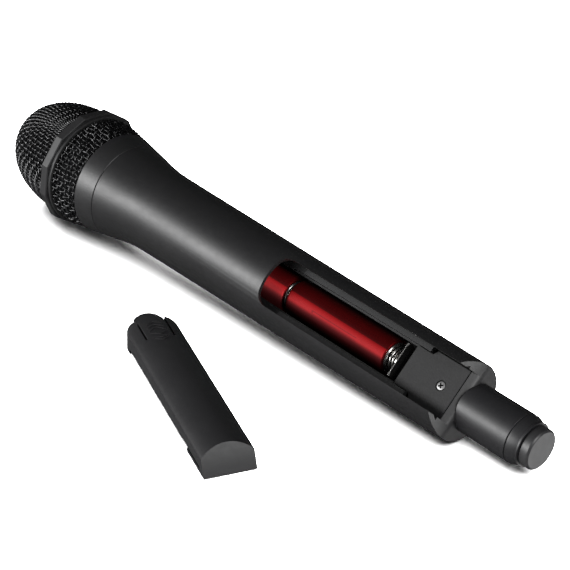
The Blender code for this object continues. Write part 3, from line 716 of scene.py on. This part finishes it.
def basket_rib(i):
    points = []
    for w in range(HOOPS * SAMPLES + 5):
        u = w / SAMPLES - 0.5   # place along the rib, counted in hoops
        x = min(max(FIRST_HOOP_X - HOOP_STEP * u, BASKET_END_X), BASKET_START_X + 0.1)
        swing = -math.cos(math.pi * (u + i))
        r = basket_radius(x) + CRIMP * swing
        a = 2 * math.pi * i / RIBS + 0.012 * math.sin(u * 1.9 + i)
        point = (x, r * math.cos(a), r * math.sin(a))
        if not points or math.dist(point, points[-1]) > LEAST_GAP:
            points.append(point)
    return points, False


def basket_paths():
    """Hoops and ribs woven round the basket between the collar and the ring."""
    rng = random.Random(7)
    wanders = [[rng.uniform(-HOOP_WANDER, HOOP_WANDER) for _ in range(RIBS)] for _ in range(HOOPS)]
    hoops = [basket_hoop(h, wander) for h, wander in enumerate(wanders)]
    return hoops + [basket_rib(i) for i in range(RIBS)]


tubes("grille_basket_weave", basket_paths(), WIRE_RADIUS, "wire", "grille_basket", sides=6)

# ---------------------------------------------------------------- pieces dressed from the CAD
# node: (material, bevel width in mm)
DRESSED = {
    "barrel": ("barrel", 0.22), "grille_collar": ("collar", 0.18), "grille_ring": ("ring", 0.22),
    "deck_plate": ("deck", 0.16), "battery_tray": ("tray", 0.10), "battery_cover": ("cover", 0.20),
    "cover_latch": ("cover", 0.18), "antenna_stub": ("stub", 0.12), "stub_ring": ("stub", 0.10),
    "tail_cap": ("cap", 0.22), "windscreen_foam": ("foam", 0), "shock_mount": ("rubber", 0.3),
    "capsule_stem": ("tray", 0.1), "mic_capsule": ("brass", 0.15), "capsule_screen": ("screen", 0.1),
    "capsule_terminal_board": ("board", 0.05), "main_board": ("board", 0.05),
    "audio_chip": ("chip", 0.12), "rf_shield": ("nickel", 0.25), "slide_switch": ("nickel", 0.1),
    "switch_bezel": ("tray", 0.08), "power_slider": ("slider", 0.12), "status_lens": ("lens", 0.1),
    "deck_screw": ("screw", 0.05), "board_screw_head_end": ("screw", 0.08),
    "board_screw_tail_end": ("screw", 0.08), "battery_spring": ("nickel", 0),
    "spring_contact": ("nickel", 0.08), "positive_contact": ("nickel", 0.1),
    "antenna_coil": ("copper", 0), "antenna_lead": ("red_wire", 0),
    "capsule_lead_a": ("red_wire", 0), "capsule_lead_b": ("black", 0),
}
REMODELLED = ("grille_dome", "grille_basket", "battery_front", "battery_rear")
# smoothing angle in degrees where it isn't 30
SMOOTH_ANGLES = {"grille_ring": 14.0}
for round_piece in ("battery_spring", "antenna_coil", "antenna_lead", "capsule_lead_a",
                    "capsule_lead_b", "windscreen_foam"):
    SMOOTH_ANGLES[round_piece] = 60.0

for node in sorted(NODES):
    if node not in REMODELLED:
        material, bevel = DRESSED[node]
        dressed(node, material, bevel, smooth=SMOOTH_ANGLES.get(node, 30.0),
                bevel_angle=22.0 if node == "grille_ring" else 32.0)

# the deck screw's recess is painted near black: painted shade in the hollow
RECESS_DEPTH, RECESS_RADIUS = 0.14, 1.08
screw_mesh = bpy.data.objects["deck_screw_surface"].data
screw_mesh.materials.append(MATERIALS["recess"])
for face in screw_mesh.polygons:
    center = MIC_INVERSE @ face.center
    from_axis = math.hypot(center.x / MM - SCREW_X, center.y / MM)
    if center.z / MM < SCREW_Z - RECESS_DEPTH and from_axis < RECESS_RADIUS:
        face.material_index = 1

# ---------------------------------------------------------------- grip chevrons
CHEVRON_SOFTNESS = 0.02     # rounds the apex
CHEVRON_LIFT = 0.08         # centre line above the shell
CHEVRON_WIRE_RADIUS = 0.21
# (x of the apex, sweep of the arms along x, half width)
LATCH_CHEVRONS = [(-85.7, 1.3, 3.1), (-83.8, 1.45, 3.1), (-81.9, 1.6, 3.1), (-77.4, -1.5, 3.1)]
COVER_CHEVRONS = [(-75.3, -0.85, 2.9), (-73.6, -1.3, 2.6)]


def chevron(apex, sweep, half_width):
    """Shallow V on the curved shell, with its apex on the middle line."""
    low, high = math.sqrt(CHEVRON_SOFTNESS), math.sqrt(1 + CHEVRON_SOFTNESS)
    points = []
    for i in range(-12, 13):
        u = i / 12
        x = apex + sweep * (math.sqrt(u * u + CHEVRON_SOFTNESS) - low) / (high - low)
        y = half_width * u
        r = shell_radius(x) + CHEVRON_LIFT
        points.append((x, y, math.sqrt(r * r - y * y)))
    return points, False


for name, rows, node in (("latch_grip_chevrons", LATCH_CHEVRONS, "cover_latch"),
                         ("cover_grip_chevrons", COVER_CHEVRONS, "battery_cover")):
    tubes(name, [chevron(*row) for row in rows], CHEVRON_WIRE_RADIUS, "cover", node, sides=8,
          matrix=COVER, replaces=False)

# ---------------------------------------------------------------- root of the latch tongue
ROOT_X, ROOT_LENGTH, ROOT_HALF_WIDTH = -75.98, 1.0, 4.8
ROOT_DROPS = (-0.018, 0.5)              # outer and inner skins, below the shell surface
ROOT_COLUMNS, ROOT_ROWS = 9, 17         # points along x and across y


def tongue_root():
    """Thin skin over the root of the tongue, where the moulding bends."""
    xs = [ROOT_X - ROOT_LENGTH * i / (ROOT_COLUMNS - 1) for i in range(ROOT_COLUMNS)]
    ys = [-ROOT_HALF_WIDTH + 2 * ROOT_HALF_WIDTH * j / (ROOT_ROWS - 1) for j in range(ROOT_ROWS)]
    verts, faces = [], []
    for drop in ROOT_DROPS:
        for x in xs:
            for y in ys:
                r = shell_radius(x) - drop
                verts.append((x * MM, y * MM, math.sqrt(r * r - y * y) * MM))
    n, m = ROOT_COLUMNS, ROOT_ROWS
    skin = n * m
    for i in range(n - 1):
        for j in range(m - 1):
            quad = (i * m + j, i * m + j + 1, (i + 1) * m + j + 1, (i + 1) * m + j)
            faces.append(quad)
            faces.append(tuple(skin + v for v in quad[::-1]))
    rim = list(range(m))
    rim += [i * m + m - 1 for i in range(1, n)]
    rim += [(n - 1) * m + j for j in range(m - 2, -1, -1)]
    rim += [i * m for i in range(n - 2, 0, -1)]
    for u, v in zip(rim, rim[1:] + rim[:1]):
        faces.append((v, u, u + skin, v + skin))
    mesh = mesh_from_lists("tongue_root_skin", verts, faces, COVER)
    obj = shaded_object("tongue_root_skin", mesh, ["cover"], smooth=40.0)
    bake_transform(obj)


tongue_root()

# ---------------------------------------------------------------- cells
CELL_LENGTH, CELL_RADIUS, CELL_GAP = 50.5, 7.1, 0.3
CELL_SIDE = CELL_RADIUS - 0.02
FRONT_CELL_X = -34.4            # flat end of the front cell
SIDE_START, SIDE_RUN, SIDE_STEPS = 2.4, 46.2, 12
# (mm from the button end, radius)
BUTTON_END = [
    (0, 0.0), (0, 2.2), (0.12, 2.55), (0.35, 2.72), (1.25, 2.75), (1.32, 2.9), (1.34, 5.2),
    (1.10, 5.5), (1.05, 6.1), (1.15, 6.6), (1.4, 6.95), (1.8, CELL_RADIUS),
    (SIDE_START, CELL_SIDE),
]
# (mm from the flat end, radius)
FLAT_END = [
    (-1.15, CELL_SIDE), (-0.95, CELL_RADIUS), (-0.62, CELL_RADIUS - 0.06),
    (-0.36, CELL_RADIUS - 0.28), (-0.26, CELL_RADIUS - 0.62), (-0.30, 6.05), (-0.5, 5.85),
    (-0.42, 5.6), (-0.12, 5.35), (-0.02, 5.0), (0, 4.4), (0, 0.0),
]


def cell(node, flat_x):
    """Cell with its flat end at flat_x and its button towards -x; the ends are bare metal."""
    button_x = flat_x - CELL_LENGTH
    profile = [(button_x + x, r) for x, r in BUTTON_END]
    profile += [(button_x + SIDE_START + SIDE_RUN * k / SIDE_STEPS, CELL_SIDE)
                for k in range(1, SIDE_STEPS)]
    profile += [(flat_x + x, r) for x, r in FLAT_END]
    mesh = lathe(node + "_can", profile, 96, ["jacket", "nickel"], node).data
    uv = mesh.uv_layers.new(name="UVMap")
    for face in mesh.polygons:
        center = MIC_INVERSE @ face.center
        r = math.hypot(center.y, center.z) / MM
        x = center.x / MM
        if x < button_x + 1.0 or (r < 5.7 and x < button_x + 5) or (r < 6.0 and x > flat_x - 3):
            face.material_index = 1
        # angle from straight out of the bay towards -y, unbroken within each face
        first_angle = None
        for loop in face.loop_indices:
            v = MIC_INVERSE @ mesh.vertices[mesh.loops[loop].vertex_index].co
            angle = math.degrees(math.atan2(-v.y, v.z))
            if first_angle is None:
                first_angle = angle
            while angle - first_angle > 180:
                angle -= 360
            while angle - first_angle < -180:
                angle += 360
            uv.data[loop].uv = (flat_x - v.x / MM, angle)


cell("battery_front", FRONT_CELL_X)
cell("battery_rear", FRONT_CELL_X - CELL_LENGTH - CELL_GAP)

# ---------------------------------------------------------------- camera
CAMERA_YAW = math.radians(135.344556)
CAMERA_DOWN = math.radians(30.888066)
CAMERA_ROLL = math.radians(2.141143)
CAMERA_PLACE = Vector((0.37241, -0.4580, 0.41056))  # m, from a point below the origin
CAMERA_BASE_DROP = 0.014987                         # m, that point below the origin
CAMERA_LENS = 130.3373053                           # mm, on a 36 mm sensor


def add_camera():
    forward = Vector((math.cos(CAMERA_YAW) * math.cos(CAMERA_DOWN),
                      math.sin(CAMERA_YAW) * math.cos(CAMERA_DOWN), -math.sin(CAMERA_DOWN)))
    level_right = Vector((math.sin(CAMERA_YAW), -math.cos(CAMERA_YAW), 0.0))
    level_up = level_right.cross(forward)
    right = level_right * math.cos(CAMERA_ROLL) + level_up * math.sin(CAMERA_ROLL)
    up = level_up * math.cos(CAMERA_ROLL) - level_right * math.sin(CAMERA_ROLL)
    place = CAMERA_PLACE + (MIC_ORIGIN - Vector((0.0, 0.0, CAMERA_BASE_DROP)))
    data = bpy.data.cameras.new("camera")
    camera = bpy.data.objects.new("camera", data)
    bpy.context.scene.collection.objects.link(camera)
    camera.matrix_world = frame_matrix(right, up, -forward, place)
    data.sensor_width = 36.0
    data.lens = CAMERA_LENS
    data.clip_start = 0.01
    data.clip_end = 20
    bpy.context.scene.camera = camera


add_camera()

# ---------------------------------------------------------------- floor
FLOOR_HALF, FLOOR_Z = 1.6, -0.0004      # m
SWEEP_START_Y, SWEEP_RISE = 0.9, 1.2    # the floor curves up beyond this y


def floor_material():
    """Near white to the camera, and greyer in the light it throws back."""
    look = Look("looks_floor")
    seen = look.node("LightPath").outputs["Is Camera Ray"]
    white = look.mix(look.noise(scale=9.0), (0.90, 0.90, 0.90), (0.93, 0.93, 0.93))
    look.set("Base Color", look.mix(seen, (0.30, 0.30, 0.30), white))
    look.set("Roughness", look.scaled(look.noise(scale=60.0), low=0.85, high=0.95))
    look.set("Specular IOR Level", 0.0)
    return look.material


def add_floor():
    bm = bmesh.new()
    bmesh.ops.create_grid(bm, x_segments=24, y_segments=24, size=FLOOR_HALF)
    for v in bm.verts:
        beyond = max(0.0, v.co.y - SWEEP_START_Y)
        v.co.z = FLOOR_Z
        v.co.z += beyond * beyond * SWEEP_RISE
    mesh = bpy.data.meshes.new("floor")
    bm.to_mesh(mesh)
    bm.free()
    floor = bpy.data.objects.new("floor", mesh)
    bpy.context.scene.collection.objects.link(floor)
    mesh.shade_smooth()
    mesh.materials.append(floor_material())
    floor.visible_glossy = False
    floor.visible_shadow = False


add_floor()

# ---------------------------------------------------------------- world
bpy.context.scene.view_settings.view_transform = "Standard"
bpy.context.scene.view_settings.look = "None"


def add_world(light_strength, seen_strength):
    """White world: dim as a light, bright where the camera sees it."""
    world = bpy.data.worlds.new("studio")
    bpy.context.scene.world = world
    world.use_nodes = True
    nodes, links = world.node_tree.nodes, world.node_tree.links
    lighting = nodes["Background"]
    path = nodes.new("ShaderNodeLightPath")
    seen = nodes.new("ShaderNodeBackground")
    mix = nodes.new("ShaderNodeMixShader")
    for background, strength in ((lighting, light_strength), (seen, seen_strength)):
        background.inputs["Color"].default_value = (1, 1, 1, 1)
        background.inputs["Strength"].default_value = strength
    links.new(path.outputs["Is Camera Ray"], mix.inputs[0])
    links.new(lighting.outputs[0], mix.inputs[1])
    links.new(seen.outputs[0], mix.inputs[2])
    links.new(mix.outputs[0], nodes["World Output"].inputs[0])


add_world(light_strength=0.025, seen_strength=1.1)


# ---------------------------------------------------------------- lights
def group(name, *pieces):
    """Collection used for light linking."""
    collection = bpy.data.collections.new(name)
    for piece in pieces:
        collection.objects.link(bpy.data.objects[piece])
    return collection


def area(name, at, to, size, power, on, blocked_by=None):
    """Rectangular light (m, W) that falls only on one group, unseen by the camera."""
    data = bpy.data.lights.new(name, "AREA")
    data.shape = "RECTANGLE"
    data.size, data.size_y = size
    data.energy = power
    light = bpy.data.objects.new(name, data)
    bpy.context.scene.collection.objects.link(light)
    light.location = at
    light.rotation_mode = "QUATERNION"
    light.rotation_quaternion = (Vector(to) - Vector(at)).to_track_quat("-Z", "Y")
    light.visible_camera = False
    light.light_linking.receiver_collection = on
    if blocked_by is not None:
        light.light_linking.blocker_collection = blocked_by


floor_only = group("lit_floor", "floor")
not_floor = group("lit_object", "floor")
not_floor.collection_objects[0].light_linking.link_state = "EXCLUDE"
barrel_only = group("lit_barrel", "barrel_surface")
cap_only = group("lit_cap", "antenna_stub_surface", "stub_ring_surface", "tail_cap_surface")
tray_only = group("lit_tray", "battery_tray_surface")
rear_cell_only = group("lit_rear_cell", "battery_rear_can")

# the floor's own wide soft light, above and a little behind, so that shadows fall forward
area("floor_top", at=(0.10, 0.30, 1.20), to=(0.0, 0.05, 0.0), size=(2.8, 2.8), power=325.0,
     on=floor_only)
# a long low softbox on the -y side gives the broad light band along the round parts
FRONT_STRIP = dict(at=(-0.42, -0.82, 0.27), to=(-0.02, 0.02, 0.02), size=(1.25, 0.32), power=18.5)
area("front_strip", **FRONT_STRIP, on=not_floor)
# its light again on the rear cell, which the edge of the opening would leave dark
area("front_strip_rear_cell", **FRONT_STRIP, on=rear_cell_only, blocked_by=rear_cell_only)
# an even sheen on the ledges of the bay
area("bay_sheen", at=(-0.38, -0.38, 0.50), to=(0.04, 0.02, 0.02), size=(0.40, 0.40), power=1.0,
     on=tray_only, blocked_by=tray_only)
# smaller softboxes past the tail end light the faces that look that way
area("tail_box", at=(0.85, -0.05, 0.58), to=(0.1, 0.0, 0.02), size=(0.40, 0.26), power=5.2,
     on=not_floor)
area("tail_mid", at=(0.98, 0.09, 0.05), to=(0.106, 0.03, 0.015), size=(0.30, 0.24), power=2.8,
     on=barrel_only)
# from under the floor, which casts no shadow
TAIL_LOW = dict(at=(0.41, 0.42, -0.32), to=(0.106, 0.03, 0.015), size=(0.36, 0.36))
area("tail_low_barrel", **TAIL_LOW, power=0.35, on=barrel_only)
area("tail_low", **TAIL_LOW, power=0.85, on=cap_only)
